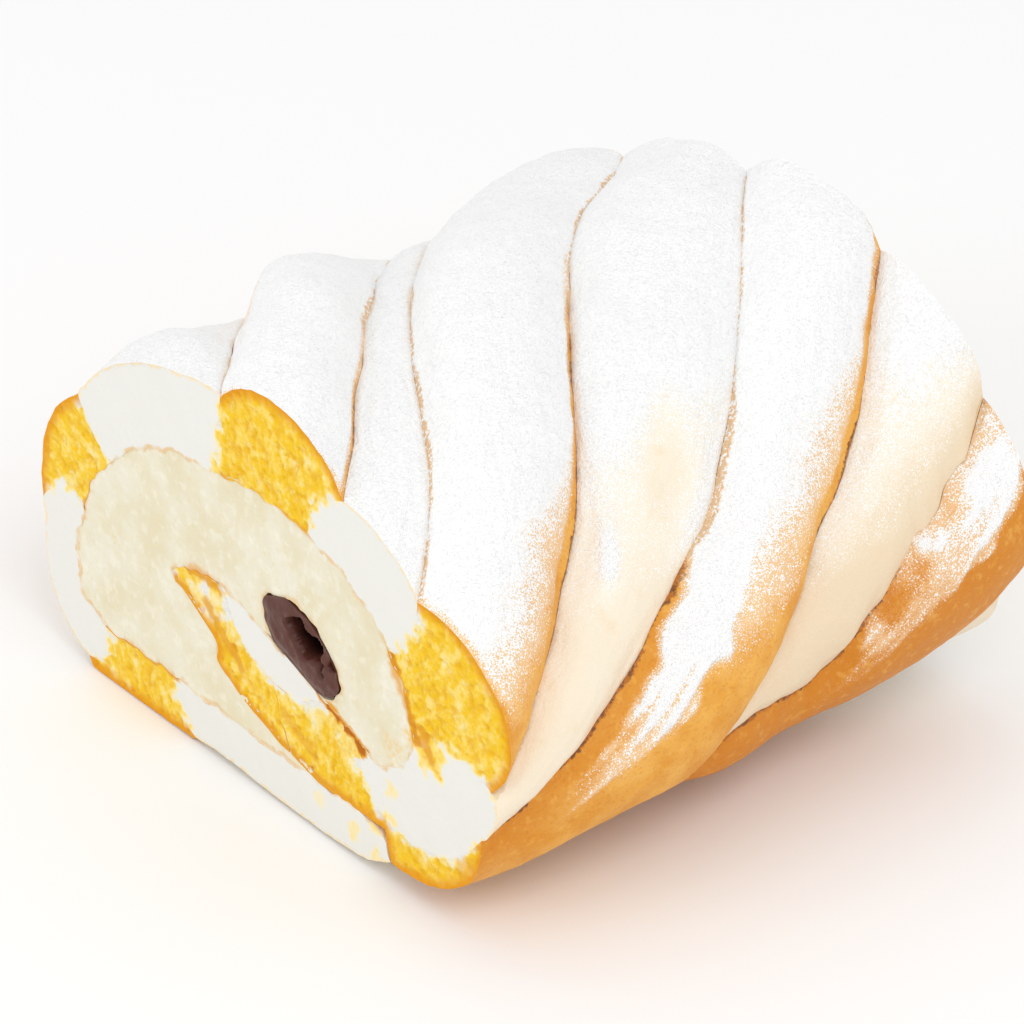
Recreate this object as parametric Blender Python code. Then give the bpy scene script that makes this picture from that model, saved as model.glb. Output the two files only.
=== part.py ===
"""Swiss roll cake, cut straight across at both ends.

A sheet of diagonally piped ropes, sponge and meringue by turns, is rolled round a cream
filling. The sheet starts under the roll, runs along the bottom, up the back, over the crown
and down the front, and then curls inwards as a flap that carries a core of dark paste.

Frame: +X along the roll, +Z up, the table at z = 0. The near cut faces -X.
"""
import math

import bmesh
import bpy
import numpy as np

MM = 0.001
COLLECTION = "swiss_roll_cake"

# Driving dimensions, in millimetres
LENGTH = 101.0             # between the two cut faces
END_LIFT = 0.06            # the far end stands this much taller than the near end
GAP = 0.5                  # clearance between neighbouring pieces
STATIONS = 19              # cross-sections along the roll
FACET = 5.0                # facet width across a rope
DEPTHS = (0.0, 0.5, 1.0)   # levels of a rope's cross-section, skin to crust

# The sheet's inner skin in cross-section: it starts at SKIN_START under the front, heading
# to the back, and each run is (length, turn in degrees). The curvature is smoothed over BLEND.
SKIN_START = (-29.0, 8.8)
SKIN_RUNS = (
    (67.4, 0.9),      # along the table
    (12.1, 90.8),     # round the lower back edge
    (12.2, 19.6),     # up the back
    (27.5, 48.6),     # rear shoulder
    (32.6, 26.1),     # crown
    (13.6, 18.0),     # front of the crown
    (22.9, 49.3),     # front shoulder
    (8.8, 45.7),      # front
    (10.4, 86.8),     # the curl at the lower front
    (36.3, -14.3),    # the flap, back towards the middle
    (3.0, -25.0),     # the flap's nose
    (9.5, -6.0),
)
BLEND = 5.0
SKIN_STEP = 0.25

# Thickness of the sheet at the grooves between ropes: (distance along the skin, thickness)
THICKNESS = (
    (0, 5.5), (5, 8.0), (50, 8.5), (68, 9.0), (80, 8.5), (92, 10.5), (120, 12.0),
    (134, 13.0), (157, 11.5), (177, 13.0), (184, 16.5), (190, 19.0), (194, 17.8),
    (198, 16.5), (201, 14.5), (207, 14.0), (225, 16.5), (235, 16.0), (243, 14.0),
    (250, 8.5), (256, 1.6),
)
THICKNESS_BLEND = 6.0

# Where the flap's underside reaches over the sheet's outer end, it lies on the bottom layer
FLAP_FROM = 200.0          # distance along the skin from which this applies
FLAP_REST = 9.9            # height of the bottom layer's top, with clearance
FLAP_EDGE = (-44.0, -32.5)  # across this stretch the underside rises onto it

# The ropes lean: a groove moves this far round the outside for each millimetre along the roll
LEAN = 1.12
# Each groove: a line of (place along the roll, place round it with the lean taken off), and how
# much further along its foot lies at the skin, at the near cut, halfway and at the far cut.
# The lines' corners are rounded over LINE_BLEND.
GROOVES = (
    (((-50, -10.8), (50, -10.8)), (4, 4, 4)),
    (((-50, 17.2), (50, 17.2)), (-2, -2, -2)),
    (((-50, 45.2), (0, 47.2), (50, 47.2)), (5, 4, 4)),
    (((-50, 71.2), (0, 75.2), (50, 75.2)), (0, -2, -2)),
    (((-50, 112.2), (0, 110.2), (50, 112.2)), (-4, 2, 3)),
    (((-50, 141.2), (50, 141.2)), (-4, -3, -3)),
    (((-50, 159.8), (-38, 159.2), (-24, 152.6), (-12, 150.6), (50, 151.4)), (2, 3, 3)),
    (((-50, 189.6), (-38, 189.8), (-22, 192.4), (-8, 188.0), (8, 185.2), (22, 186.4), (50, 194.6)),
     (0, -2, -2)),
    (((-50, 199.2), (-28, 208.8), (-12, 215.6), (2, 222.0), (20, 223.4), (50, 224.6)), (12, 4, 3)),
    (((-50, 249.2), (-8, 247.6), (4, 246.0), (15, 248.4), (28, 252.6), (50, 254.8)), (-3, -2, -2)),
    (((-50, 251.0), (-8, 250.6), (0, 255.0), (6, 262.4), (13, 268.4), (28, 272.6), (50, 282.2)),
     (23, 8, 3)),
    (((-50, 285.2), (0, 295.2), (50, 313.2)), (0, -2, -2)),
    (((-50, 325.2), (0, 330.2), (50, 339.2)), (3, 3, 3)),
    (((-50, 355.2), (0, 360.2), (50, 367.2)), (-2, -2, -2)),
)
LINE_BLEND = 9.0
WAIST = 1.0                # a sponge rope is this much slimmer, each side, at half its depth
WAIST_SHARE = 0.25         # and its foot's offset is reached early by this share
SHORTEST = 2.5             # a narrower end of a rope at the sheet's edge is left to its neighbour

# Height of each rope's rounded back over its grooves, as (place along the roll, height); even
# ones are meringue and odd ones sponge
CROWNS = (
    ((0, 0.0),),
    ((0, 5.0),),
    ((-50, 0.0), (0, 3.0)),
    ((-50, 1.0), (0, 5.0), (50, 6.0)),
    ((-50, 0.5), (-43, 4.4), (-30, 1.6), (0, 2.5), (50, 5.0)),
    ((-50, 5.5), (-36, 6.5), (-22, 8.8), (-8, 5.0), (4, 1.0), (50, 5.0)),
    ((-50, 0.5), (0, 1.0), (50, 3.0)),
    ((-50, 6.5), (0, 5.6), (14, 4.4), (40, 5.0)),
    ((-50, 3.0), (0, 3.0), (50, 2.4)),
    ((-50, 5.0), (0, 5.5), (50, 4.4)),
    ((-50, 1.0), (0, 2.0), (34, 2.4), (50, 3.6)),
    ((-50, 5.0), (0, 5.0), (50, 4.0)),
    ((0, 3.0),),
    ((0, 5.0),),
    ((0, 3.0),),
)
# Where the whole sheet is thicker or thinner: place along and round, reach both ways, height
SWELLS = (
    (50, 150, 25, 14, -2.0), (50, 168, 16, 6, -1.2), (50, 196, 18, 9, 2.0), (50, 221, 18, 9, 2.6),
    (-8, 262, 14, 9, 2.0), (40, 262, 14, 9, 0.8), (-50, 117, 12, 8, 0.6), (-50, 268, 20, 8, 0.8),
)
CROWN_POWER = 2.4
CROWN_FADE = ((245, 1.0), (285, 0.3), (300, 0.0))   # backs flatten underneath: (place, share)
FULL_WIDTH = 14.0          # a narrower rope has a lower back

# The dark paste core, an oval that lies on the flap
CORE_CENTRE = (-10.2, 31.2)
CORE_HALF = (9.2, 5.6)
CORE_TILT = 20.0
CORE_FOOT = -4.3           # flattened this far below its centre
CORE_SIDES = 20
CORE_STATIONS = 11
CORE_SWELL = 0.04          # it thickens and thins by this share along the roll

CREAM_STATIONS = 8
CREAM_STEP = 3.5
UNDER_GAP = 1.2            # clearance under the flap, where the ropes' facets bend
UNDER_FROM = 242.0         # from the nose the cream runs straight to here along the underside
CREAM_FROM = 22.0          # the cream's wedge between bottom layer and flap starts here,
CREAM_TO = 221.0           # and ends here, as distances along the skin
CORE_ON_SKIN = (215.5, 234.5)   # the core lies between these distances along the skin
SHEET_FROM = 2.0           # the sheet's outer end, round the outside
NOSE_ROOM = 1.5            # the sheet stops this far short, inside the cream
FACET_SAG = 6.0            # facet length that the cream's clearance in bends allows for

MATERIALS = {
    "sponge": ((0.83, 0.52, 0.12), 0.85),
    "meringue": ((0.90, 0.87, 0.80), 0.75),
    "cream": ((0.90, 0.84, 0.66), 0.70),
    "paste": ((0.10, 0.045, 0.035), 0.35),
}


def along(values, x):
    """Value at x of something given at the near cut, halfway and at the far cut."""
    near, middle, far = values
    t = np.asarray(x) / (LENGTH / 2)
    return middle + (far - near) / 2 * t + ((near + far) / 2 - middle) * t * t


def bent(points, x):
    """Value at x on a line through points, its corners rounded over LINE_BLEND."""
    offsets = np.linspace(-LINE_BLEND / 2, LINE_BLEND / 2, 9)
    return float(np.mean([np.interp(x + offset, *zip(*points)) for offset in offsets]))


def swelling(x, outer):
    """How much thicker the sheet is than its usual cross-section."""
    total = 0.0
    for at_x, at_outer, reach_x, reach_outer, height in SWELLS:
        off = ((x - at_x) / reach_x) ** 2 + ((outer - at_outer) / reach_outer) ** 2
        total = total + height * np.exp(-off)
    return total


def smoothed(values, width, step):
    """Running mean over a width, with the ends held."""
    count = int(width / step) | 1
    padded = np.pad(values, count // 2, mode="edge")
    return np.convolve(padded, np.ones(count) / count, "valid")


class Section:
    """The sheet in cross-section: skin, outward normal, thickness and length round the outside."""

    def __init__(self):
        lengths = np.array([run[0] for run in SKIN_RUNS])
        turns = np.radians([run[1] for run in SKIN_RUNS])
        ends = np.concatenate([[0], np.cumsum(lengths)])
        self.length = ends[-1]
        count = int(round(self.length / SKIN_STEP)) + 1
        self.distance = np.linspace(0, self.length, count)
        heading = np.interp(self.distance, ends, np.concatenate([[0], np.cumsum(turns)]))
        heading = smoothed(heading, BLEND, SKIN_STEP)
        step = self.distance[1]
        middle = (heading[1:] + heading[:-1]) / 2
        self.y = SKIN_START[0] + np.concatenate([[0], np.cumsum(np.cos(middle) * step)])
        self.z = SKIN_START[1] + np.concatenate([[0], np.cumsum(np.sin(middle) * step)])
        self.normal_y = np.sin(heading)
        self.normal_z = -np.cos(heading)
        self.bend = np.gradient(heading, step)
        places, depths = zip(*THICKNESS)
        self.thickness = smoothed(np.interp(self.distance, places, depths),
                                  THICKNESS_BLEND, SKIN_STEP)
        outer_y = self.y + self.normal_y * self.thickness
        outer_z = self.z + self.normal_z * self.thickness
        sides = np.hypot(np.diff(outer_y), np.diff(outer_z))
        self.outer = np.concatenate([[0], np.cumsum(sides)])
        self.end = self.length - NOSE_ROOM
        self.outer_end = float(np.interp(self.end, self.distance, self.outer))

    def to_distance(self, outer):
        return np.interp(outer, self.outer, self.distance)

    def to_outer(self, distance):
        return np.interp(distance, self.distance, self.outer)

    def point(self, distance, height):
        """(y, z) at a height over the skin."""
        def read(values):
            return np.interp(distance, self.distance, values)
        y = read(self.y) + read(self.normal_y) * height
        z = read(self.z) + read(self.normal_z) * height
        return y, z

    def thickness_at(self, distance, x):
        usual = np.interp(distance, self.distance, self.thickness)
        return usual + swelling(x, self.to_outer(distance))


def place(x, y, z):
    """World position, in metres, of a point of the near section carried along the roll."""
    lift = along((1.0, 1.0, 1.0 + END_LIFT), x)
    return np.stack([x + 0 * y, y, z * lift], axis=-1) * MM


def bed(distance, y, z):
    """Heights z kept off the table's underside and, under the flap, off the bottom layer."""
    over = np.clip((y - FLAP_EDGE[0]) / (FLAP_EDGE[1] - FLAP_EDGE[0]), 0, 1)
    return np.maximum(z, np.where(distance > FLAP_FROM, FLAP_REST * over, 0.0))


def groove_places(section, x):
    """Each groove at one station: outer lengths at the skin, at half depth and at the crust."""
    rows = [(SHEET_FROM,) * 3]
    for number, (line, slant) in enumerate(GROOVES):
        crust = bent(line, x) - LEAN * x
        if crust < SHEET_FROM + SHORTEST:
            rows.append((SHEET_FROM,) * 3)
            continue
        if crust > section.outer_end - SHORTEST:
            rows.append((section.outer_end,) * 3)
            continue
        top = float(section.to_distance(crust))
        slope = float(along(slant, x))
        inward = 1 if number % 2 == 0 else -1
        half = top + slope * (0.5 + WAIST_SHARE) + inward * WAIST
        foot, half = np.clip((top + slope, half), 0.0, section.end)
        rows.append((float(section.to_outer(foot)), float(section.to_outer(half)), crust))
    rows.append((section.outer_end,) * 3)
    return np.array(rows)


def wall_points(section, x, row, side):
    """(y, z) of a groove's wall at skin, half depth and crust, set back to one side of it."""
    distance = section.to_distance(row)
    height = section.thickness_at(distance, x) * np.array(DEPTHS)
    y, z = section.point(distance, height)
    points = np.stack([y, bed(distance, y, z)], axis=1)
    if row[0] == row[2]:
        return points
    along_wall = np.gradient(points, axis=0)
    along_wall /= np.linalg.norm(along_wall, axis=1)[:, None]
    across = np.stack([-along_wall[:, 1], along_wall[:, 0]], axis=1)
    return points + across * side * GAP / 2


def rope_station(section, number, x, left, right, steps):
    """Grid of points, width by depth, of one rope's cross-section at a station."""
    share = np.linspace(0, 1, steps + 1)
    crown = bent(CROWNS[number], x) * min((right[2] - left[2]) / FULL_WIDTH, 1.0)
    near_wall = wall_points(section, x, left, 1)
    far_wall = wall_points(section, x, right, -1)
    levels = []
    for level, depth in enumerate(DEPTHS):
        outer = left[level] + (right[level] - left[level]) * share
        distance = section.to_distance(outer)
        height = section.thickness_at(distance, x) * depth
        if depth == DEPTHS[-1]:
            fade = np.interp(outer, *zip(*CROWN_FADE))
            height = height + crown * fade * (1 - np.abs(2 * share - 1) ** CROWN_POWER)
        y, z = section.point(distance, height)
        z = bed(distance, y, z)
        y[0], z[0] = near_wall[level]
        y[-1], z[-1] = far_wall[level]
        levels.append(place(x, y, np.maximum(z, 0.0)))
    return np.stack(levels, axis=1)


def rope_ring(block):
    """Points round the edge of a width by depth grid: skin, far wall, crust, near wall."""
    skin = block[:, 0]
    far_wall = block[-1, 1:-1]
    crust = block[::-1, -1]
    near_wall = block[0, -2:0:-1]
    return np.concatenate([skin, far_wall, crust, near_wall])


def ring_solid(rings, falling=()):
    """Closed mesh of stations that are each a ring of points, its ends filled.

    The sides' diagonals lean forwards round the ring, and backwards on the falling edges, so
    that two neighbours' facing walls are cut into the same triangles.
    """
    mesh = bmesh.new()
    layers = [[mesh.verts.new(point) for point in ring] for ring in rings]
    count = len(layers[0])
    for near, far in zip(layers, layers[1:]):
        for one in range(count):
            two = (one + 1) % count
            if one in falling:
                one, two = two, one
            mesh.faces.new((near[one], near[two], far[two]))
            mesh.faces.new((near[one], far[two], far[one]))
    caps = [mesh.faces.new(layers[0]), mesh.faces.new(layers[-1])]
    bmesh.ops.triangulate(mesh, faces=caps)
    return mesh


def material(kind):
    name = kind + "_material"
    if name in bpy.data.materials:
        return bpy.data.materials[name]
    colour, roughness = MATERIALS[kind]
    made = bpy.data.materials.new(name)
    made.use_nodes = True
    shader = made.node_tree.nodes["Principled BSDF"]
    shader.inputs["Base Color"].default_value = (*colour, 1.0)
    shader.inputs["Roughness"].default_value = roughness
    shader.inputs["Metallic"].default_value = 0.0
    return made


def add_object(name, mesh, kind, collection):
    """Turn a bmesh into a named object with its material, its faces pointing out."""
    bmesh.ops.recalc_face_normals(mesh, faces=mesh.faces)
    data = bpy.data.meshes.new(name)
    mesh.to_mesh(data)
    mesh.free()
    data.materials.append(material(kind))
    data.shade_smooth()
    data.set_sharp_from_angle(angle=math.radians(40))
    made = bpy.data.objects.new(name, data)
    collection.objects.link(made)
    return made


def build_ropes(section, collection):
    """Each rope of the sheet, meringue and sponge by turns, for as far as the sheet holds it."""
    stations = np.linspace(-LENGTH / 2, LENGTH / 2, STATIONS)
    edges = [groove_places(section, x) for x in stations]
    counts = {"meringue": 0, "sponge": 0}
    for number in range(len(CROWNS)):
        held = [(x, rows[number], rows[number + 1]) for x, rows in zip(stations, edges)
                if rows[number + 1, 2] > rows[number, 2]]
        widest = max(right[2] - left[2] for _, left, right in held)
        steps = max(round(widest / FACET), 3)
        rings = [rope_ring(rope_station(section, number, x, left, right, steps))
                 for x, left, right in held]
        sides = len(rings[0])
        near_wall = range(sides - len(DEPTHS) + 1, sides)
        kind = "sponge" if number % 2 else "meringue"
        counts[kind] += 1
        add_object(f"{kind}_rope_{counts[kind]}", ring_solid(rings, near_wall), kind, collection)


def core_outline(grow):
    """Ring of (y, z) round the paste core, larger by grow."""
    angles = np.linspace(0, 2 * math.pi, CORE_SIDES, endpoint=False)
    flat = (CORE_HALF[0] + grow) * np.cos(angles)
    tall = np.maximum((CORE_HALF[1] + grow) * np.sin(angles), CORE_FOOT)
    tilt = math.radians(CORE_TILT)
    y = CORE_CENTRE[0] + flat * math.cos(tilt) - tall * math.sin(tilt)
    z = CORE_CENTRE[1] + flat * math.sin(tilt) + tall * math.cos(tilt)
    return y, z


def build_core(collection):
    rings = []
    for number, x in enumerate(np.linspace(-LENGTH / 2, LENGTH / 2, CORE_STATIONS)):
        swell = -CORE_SWELL * (1 - math.cos(number * 1.7)) * CORE_HALF[1]
        rings.append(place(x, *core_outline(swell)))
    add_object("dark_paste_core", ring_solid(rings), "paste", collection)


def cream_outline(section):
    """Ring of (y, z) round the cream: inside the sheet, round the flap and over the core."""
    sag = np.abs(section.bend) * FACET_SAG ** 2 / 8
    room = GAP + smoothed(sag, 2 * FACET_SAG, SKIN_STEP)

    def skin(start, end):
        steps = int(abs(end - start) / CREAM_STEP) + 1
        distance = np.linspace(start, end, steps)
        return section.point(distance, -np.interp(distance, section.distance, room))

    def underside(start, end):
        steps = int(abs(end - start) / CREAM_STEP) + 1
        distance = np.linspace(start, end, steps)
        y, z = section.point(distance, section.thickness_at(distance, 0.0) + UNDER_GAP)
        return y, np.maximum(z, FLAP_REST)

    core_y, core_z = core_outline(GAP)
    tilt = math.radians(CORE_TILT)
    lift = -(core_y - CORE_CENTRE[0]) * math.sin(tilt) + (core_z - CORE_CENTRE[1]) * math.cos(tilt)
    over = lift > CORE_FOOT + GAP
    over_y, over_z = core_y[over], core_z[over]
    angle = np.arctan2(over_z - CORE_CENTRE[1], CORE_CENTRE[0] - over_y)
    order = np.argsort(np.where(angle < -math.pi / 2, angle + 2 * math.pi, angle))
    parts = [skin(CREAM_FROM, CORE_ON_SKIN[0]), (over_y[order], over_z[order]),
             skin(CORE_ON_SKIN[1], section.length), underside(section.length, section.length),
             underside(UNDER_FROM, CREAM_TO)]
    return np.concatenate([part[0] for part in parts]), np.concatenate([part[1] for part in parts])


def build_cream(section, collection):
    y, z = cream_outline(section)
    rings = [place(x, y, z) for x in np.linspace(-LENGTH / 2, LENGTH / 2, CREAM_STATIONS)]
    add_object("cream_filling", ring_solid(rings), "cream", collection)


def main():
    for old in list(bpy.data.objects):
        bpy.data.objects.remove(old, do_unlink=True)
    collection = bpy.data.collections.new(COLLECTION)
    bpy.context.scene.collection.children.link(collection)
    section = Section()
    build_ropes(section, collection)
    build_core(collection)
    build_cream(section, collection)


main()
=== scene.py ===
"""The swiss roll cake's looks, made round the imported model.

Every node of the model is replaced by a finer mesh of the same rope, cream or paste, worked out
from the same cross-section. Lengths are in millimetres until a mesh is made.
"""

import math

import bpy
import numpy as np
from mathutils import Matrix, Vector
from mathutils.geometry import delaunay_2d_cdt


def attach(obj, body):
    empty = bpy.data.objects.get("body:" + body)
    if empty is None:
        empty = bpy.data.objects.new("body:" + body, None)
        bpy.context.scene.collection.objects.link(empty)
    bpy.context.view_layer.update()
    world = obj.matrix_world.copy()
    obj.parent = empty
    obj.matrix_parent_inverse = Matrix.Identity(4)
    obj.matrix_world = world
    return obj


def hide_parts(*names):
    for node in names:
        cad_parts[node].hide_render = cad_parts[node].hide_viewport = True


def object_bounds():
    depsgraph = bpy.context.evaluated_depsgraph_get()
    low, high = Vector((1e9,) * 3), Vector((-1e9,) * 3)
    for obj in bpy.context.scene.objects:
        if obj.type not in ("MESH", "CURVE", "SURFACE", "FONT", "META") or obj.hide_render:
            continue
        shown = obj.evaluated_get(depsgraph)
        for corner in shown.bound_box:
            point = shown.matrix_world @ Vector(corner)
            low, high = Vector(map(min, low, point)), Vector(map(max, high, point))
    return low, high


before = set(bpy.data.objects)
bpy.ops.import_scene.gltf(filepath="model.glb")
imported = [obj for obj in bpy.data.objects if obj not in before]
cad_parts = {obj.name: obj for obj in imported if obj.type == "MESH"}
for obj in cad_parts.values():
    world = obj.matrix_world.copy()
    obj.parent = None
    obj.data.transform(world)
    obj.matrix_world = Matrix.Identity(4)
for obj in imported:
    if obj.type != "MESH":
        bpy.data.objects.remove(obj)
cad_box = [list(corner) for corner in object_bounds()]

MM = 0.001
LENGTH = (cad_box[1][0] - cad_box[0][0]) / MM
END_LIFT = 0.06            # the far end stands this much taller than the near end

# The sheet in cross-section, as in the model: (length, turn in degrees) along its inner skin
SKIN_START = (-29.0, 8.8)
SKIN_RUNS = (
    (67.4, 0.9), (12.1, 90.8), (12.2, 19.6), (27.5, 48.6), (32.6, 26.1), (13.6, 18.0),
    (22.9, 49.3), (8.8, 45.7), (10.4, 86.8), (36.3, -14.3), (3.0, -25.0), (9.5, -6.0),
)
BLEND = 5.0
SKIN_STEP = 0.25
THICKNESS = (
    (0, 5.5), (5, 8.0), (50, 8.5), (68, 9.0), (80, 8.5), (92, 10.5), (120, 12.0),
    (134, 13.0), (157, 11.5), (177, 13.0), (184, 16.5), (190, 19.0), (194, 17.8),
    (198, 16.5), (201, 14.5), (207, 14.0), (225, 16.5), (235, 16.0), (243, 14.0),
    (250, 8.5), (256, 1.6),
)
THICKNESS_BLEND = 6.0
FLAP_FROM = 200.0
FLAP_REST = 9.0            # the flap's underside rests this high, on the bottom layer
FLAP_EDGE = (-31.8, -29.4)
SHEET_FROM = 0.0

# Grooves between ropes: how far round the outside, as (place along the roll, place round it)
# with the lean taken off, and how much further along their foot lies at near, middle and far
LEAN = 1.12
GROOVE_BLEND = 9.0
GROOVES = (
    (((0, -10.8),), (4, 4, 4)),
    (((0, 17.2),), (-2, -2, -2)),
    (((-50, 45.2), (0, 47.2), (50, 47.2)), (5, 4, 4)),
    (((-50, 71.2), (0, 75.2), (50, 75.2)), (0, -2, -2)),
    (((-50, 112.2), (0, 110.2), (50, 112.2)), (-4, 2, 3)),
    (((-50, 141.2), (50, 141.2)), (-4, -3, -3)),
    (((-50, 159.8), (-38, 159.2), (-24, 152.6), (-12, 150.6), (50, 151.4)), (2, 3, 3)),
    (((-50, 189.6), (-38, 189.8), (-22, 192.4), (-8, 188.0), (8, 185.2), (22, 186.4), (50, 194.6)),
     (0, -2, -2)),
    (((-50, 199.2), (-28, 208.8), (-12, 215.6), (2, 222.0), (20, 223.4), (50, 224.6)), (12, 4, 3)),
    (((-50, 250.1), (-8, 248.6), (4, 246.0), (15, 248.4), (28, 252.6), (50, 254.8)), (-3, -2, -2)),
    (((-50, 250.1), (-8, 248.6), (-1, 254.0), (6, 262.4), (13, 268.4), (28, 272.6), (50, 282.2)),
     (23, 8, 3)),
    (((-50, 285.2), (0, 295.2), (50, 313.2)), (0, -2, -2)),
    (((-50, 325.2), (0, 330.2), (50, 339.2)), (3, 3, 3)),
    (((-50, 355.2), (0, 360.2), (50, 367.2)), (-2, -2, -2)),
)
WOBBLE = ((7.0, 0.55), (2.6, 0.22))   # sizes and reach of the grooves' unevenness
TORN_GROOVE = (10, 4.0)    # this groove is torn, so many times more uneven
WAIST = 1.0
WAIST_SHARE = 0.25
NARROWEST = 0.35           # a rope's end tapers to this width

# Height of each rope's rounded back over its grooves, as (place along the roll, height); even
# ones are meringue and odd ones sponge
CROWNS = (
    ((0, 0.0),),
    ((0, 5.0),),
    ((-50, 0.0), (0, 3.0)),
    ((-50, 1.0), (0, 5.0), (50, 6.0)),
    ((-50, 0.5), (-43, 4.4), (-30, 1.6), (0, 2.5), (50, 5.0)),
    ((-50, 5.5), (-36, 6.5), (-22, 8.8), (-8, 5.0), (4, 1.0), (50, 5.0)),
    ((-50, 0.5), (0, 1.0), (50, 3.0)),
    ((-50, 6.5), (0, 5.6), (14, 4.4), (40, 5.0)),
    ((-50, 3.0), (0, 3.0), (50, 2.4)),
    ((-50, 5.0), (0, 5.5), (50, 4.4)),
    ((-50, 1.0), (0, 2.0), (34, 2.4), (50, 3.6)),
    ((-50, 5.0), (0, 5.0), (50, 4.0)),
    ((0, 3.0),),
    ((0, 5.0),),
    ((0, 3.0),),
)
# Where the whole sheet is thicker or thinner: place along and round, reach both ways, height
SWELLS = (
    (50, 150, 25, 14, -2.0), (50, 168, 16, 6, -1.2), (50, 196, 18, 9, 2.0), (50, 221, 18, 9, 2.6),
    (-8, 262, 14, 9, 2.0), (40, 262, 14, 9, 0.8), (-50, 117, 12, 8, 0.6), (-50, 268, 20, 8, 0.8),
)
CROWN_POWER = 2.4
CROWN_FADE = ((245, 1.0), (285, 0.3), (300, 0.0))
FULL_WIDTH = 14.0

# The white pocket that the sixth meringue rope becomes at the near cut, on top of the flap
POCKET = 10                # number of that rope
POCKET_FROM = -6.0         # it starts to close here, along the roll,
POCKET_OVER = 26.0         # and has closed over this length
POCKET_DEPTH = 0.46        # share of the sheet's thickness that the pocket keeps
POCKET_POWER = 2.6         # how square its back is
POCKET_BACK = (0.3, 0.4)   # where its back starts across it, and how wide it is
POCKET_SPLIT = 0.42        # where across it the two neighbours meet over it

# The core of dark paste
CORE_CENTRE = (-10.2, 31.2)
CORE_HALF = (9.2, 5.6)
CORE_TILT = 20.0
CORE_FOOT = -4.7
CORE_SIDES = 96
CORE_LUMPS = ((5.0, 0.07), (2.2, 0.035))          # sizes, and shares of its radius
CORE_ON_SKIN = (215.5, 234.5)
CAVITY = ((-12.0, 32.3), (5.6, 2.9), 24.0, 5.0)   # centre, half sizes, tilt, depth
CAVITY_EDGE = ((2.6, 0.30), (1.1, 0.14))
CAVITY_RIDGE = (2.1, 1.44)                        # size and height of the ridges in it
PASTE_BULGE = (2.2, 0.55)                         # the paste bulges at its cuts: from edge, height
PASTE_ROUGH = ((1.2, 0.14),)

CREAM_FROM = 14.0
CREAM_TO = 216.0
CREAM_LAP = 0.3            # the cream reaches this far in behind the sheet's skin,
CREAM_UNDER_LAP = 0.6      # and this far behind the flap's crust,
CREAM_SET_BACK = 0.12      # and its cut lies this far back from theirs

# The cuts tear the layers' edges: size of the ragged lumps and their reach, and how far in
RAGGED = ((2.8, 0.60), (1.4, 0.30))
RAGGED_DEPTH = 5.0

# Browned streaks on the near cut: line of (y, z), width and strength; amber up to 0.7
BROWNED = (
    (((-14.5, 25.2), (-19.0, 22.8), (-24.5, 20.0)), 1.5, 1.0),
    (((-31.5, 40.0), (-33.0, 36.5), (-35.6, 32.0), (-37.2, 28.5)), 1.8, 0.8),
    (((-37.8, 30.5), (-40.2, 26.8)), 2.2, 0.55),
    (((16.5, 31.0), (12.5, 31.4), (9.5, 30.8)), 2.0, 0.60),
    (((12.5, 26.5), (8.0, 22.5), (4.5, 19.5)), 2.2, 0.50),
    (((-6.0, 17.0), (-10.0, 14.6), (-13.0, 12.6)), 2.0, 0.35),
    (((-46.5, 11.0), (-49.5, 13.5)), 2.4, 0.35),
)
# Places on the near cut where the knife dragged yellow crumb over meringue or cream, or left
# the crumb pale (less than 0): (y, z), radius, strength
DRAGGED = (
    ((-38.6, 32.0), 2.8, 0.85), ((-40.2, 27.2), 3.6, 0.90), ((-36.6, 28.4), 2.6, 0.70),
    ((-36.2, 39.0), 1.8, 0.60), ((-31.5, 24.0), 3.0, 0.40), ((-30.3, 16.9), 2.4, 0.35),
    ((-30.9, 10.6), 1.8, 0.50), ((-24.0, 13.0), 3.2, 0.40), ((-27.0, 8.5), 2.4, 0.45),
    ((-22.0, 5.0), 2.6, 0.40), ((-27.5, 3.0), 2.2, 0.42), ((-14.0, 6.0), 2.0, 0.30),
    ((12.0, 27.6), 4.5, -0.75), ((6.0, 28.0), 4.5, -0.65), ((-20.8, 19.6), 5.0, -0.50),
    ((-13.5, 21.0), 4.5, -0.55), ((-27.0, 18.2), 4.0, -0.50), ((0.0, 23.4), 3.5, -0.35),
)
FLAP_CRUST = (1.5, 0.75)   # width and strength of the flap's brown edge on the near cut

# How finely the meshes are cut
STATIONS = 215
INNER_STATIONS = 60
ENDS = ((0, 1), (-1, -1))  # both cuts: station, and which way along the roll is inward
CRUST_FACET = 0.46
WALL_FACET = 0.6
SKIN_FACET = 0.6
CUT_FACET = 0.40
PASTE_FACET = 0.30

# Unevenness of the crust, as (size, reach): its slow sway, its wrinkles, the lumps of the sugar
# as shares of its depth, and the wandering of the sugar's score
SWAY = ((13.0, 0.45), (5.5, 0.25))
WRINKLES = ((1.1, 0.06), (3.0, 0.05))
SUGAR_LUMPS = ((2.6, 0.50), (1.25, 0.60))
SUGAR_WANDER = ((8.0, 0.10), (2.4, 0.05))
COMB = (1.3, 9.0)          # the streaks along the ropes are so wide and so long
COMB_DEPTH = 0.07
FRINGE = (0.9, 0.14)       # size and height of the grains along the sugar's edge

# Icing sugar was sifted from above. It lies where the surface faces up and stands high: its
# score is the normal's upward part, and more by SUGAR_CLIMB for each mm over SUGAR_LINE.
SUGAR_LINE = 50.0
SUGAR_CLIMB = 0.026
SUGAR_CLIMB_MOST = 0.42
SUGAR_FROM = 0.18
SUGAR_FULL = 0.98
SUGAR_DEPTH = 0.42
# On these ropes a streaked band stays dusted lower down: (rope, middle and half width of the
# band as shares across it, addition to the score)
SUGAR_BANDS = {9: (0.18, 0.18, 1.15), 11: (0.22, 0.20, 1.0)}
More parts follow.
